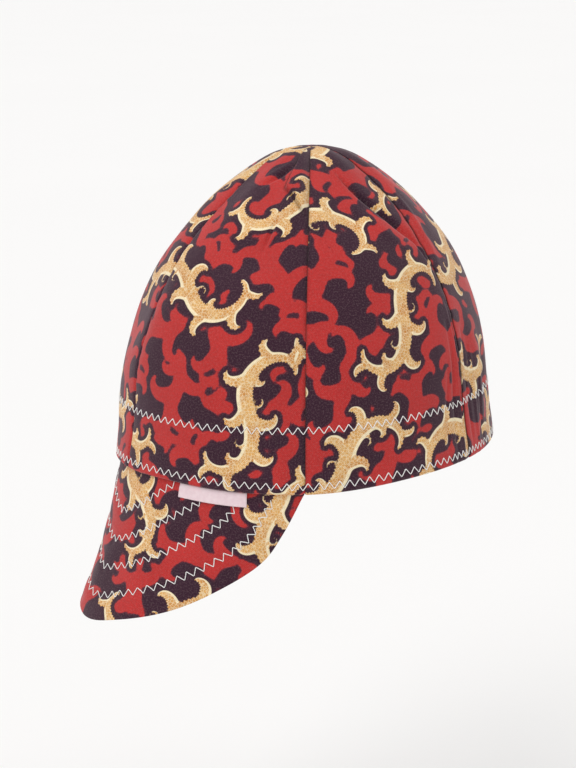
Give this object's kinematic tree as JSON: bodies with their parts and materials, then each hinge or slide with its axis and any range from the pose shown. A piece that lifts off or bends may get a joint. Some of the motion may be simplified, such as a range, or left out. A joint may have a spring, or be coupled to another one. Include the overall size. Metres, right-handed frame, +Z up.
{
  "type": "soft brim cap",
  "caption": "Soft cap sewn from cloth gores over a hollow dome, with a doubled hem, a short quilted brim that hangs over the front of its rim, and a small bare tag.",
  "frame": {"origin": "middle of the head opening, in the plane of the rim", "axes": "+Z up to the top of the crown, the brim at the front towards -Y, the wearer's left towards +X"},
  "size_m": [0.1758, 0.2355, 0.2316],
  "materials": {
    "printed_cotton": "matte",
    "quilted_cotton": "matte",
    "tag_satin": "satin"
  },
  "bodies": {
    "root": {"crown_panel_1": "printed_cotton", "crown_panel_2": "printed_cotton", "crown_panel_3": "printed_cotton", "crown_panel_4": "printed_cotton", "crown_panel_5": "printed_cotton", "crown_panel_6": "printed_cotton", "brim": "quilted_cotton", "label": "tag_satin"}
  },
  "joints": []
}
